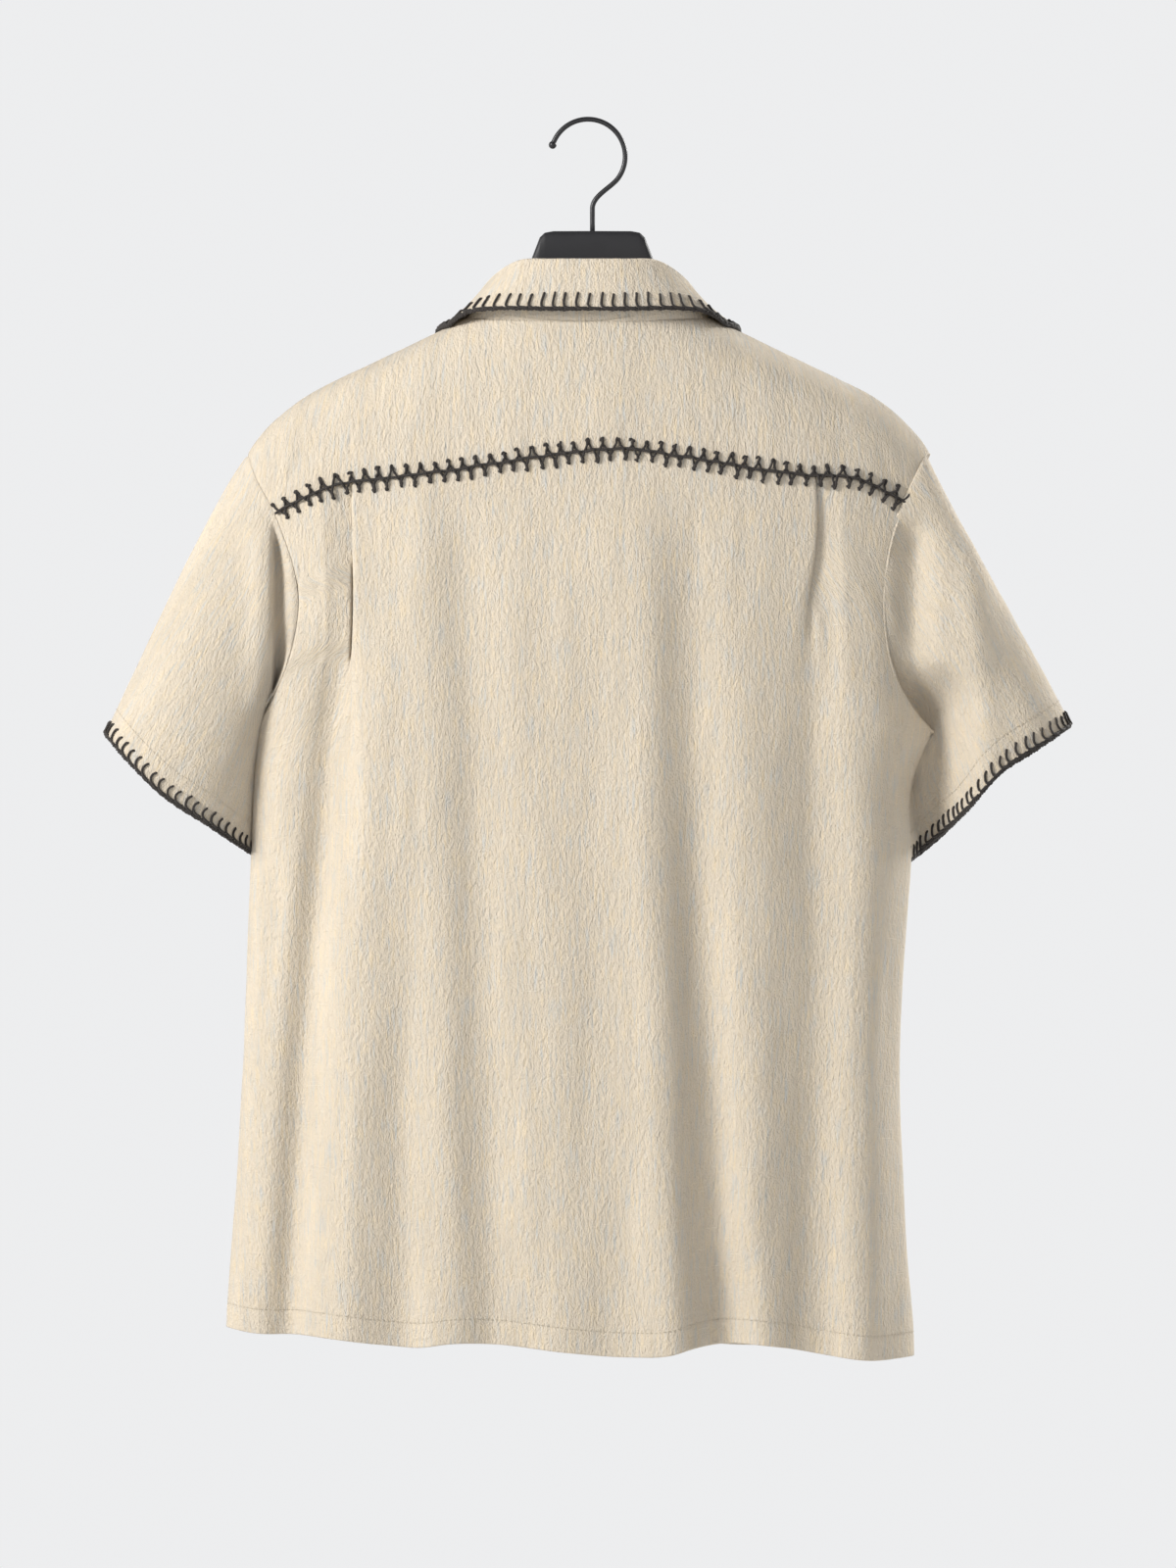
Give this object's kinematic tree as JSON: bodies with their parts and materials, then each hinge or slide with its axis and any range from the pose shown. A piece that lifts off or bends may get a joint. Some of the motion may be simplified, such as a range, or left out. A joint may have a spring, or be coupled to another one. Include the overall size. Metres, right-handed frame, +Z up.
{
  "type": "hanging open-collar shirt",
  "caption": "Boxy short-sleeve open-collar shirt of slubbed cotton, hung on a plain hanger with a wire hook.",
  "frame": {"origin": "inside top of the hanger's hook, where it is hung", "axes": "+Z up, +Y out of the back of the shirt, +X to the wearer's left"},
  "size_m": [0.669, 0.1216, 0.8599],
  "materials": {
    "slub_cotton": "crinkled oatmeal slub weave, matt",
    "dark_button": "dark brown, softly polished",
    "black_hanger": "matt black",
    "black_wire": "satin black paint on round wire"
  },
  "bodies": {
    "root": {"back_yoke": "slub_cotton", "back_panel": "slub_cotton", "front_left": "slub_cotton", "front_right": "slub_cotton", "sleeve_left": "slub_cotton", "sleeve_right": "slub_cotton", "collar": "slub_cotton", "button_1": "dark_button", "button_2": "dark_button", "button_3": "dark_button", "button_4": "dark_button", "button_5": "dark_button", "hanger_body": "black_hanger", "hanger_hook": "black_wire"}
  },
  "joints": []
}
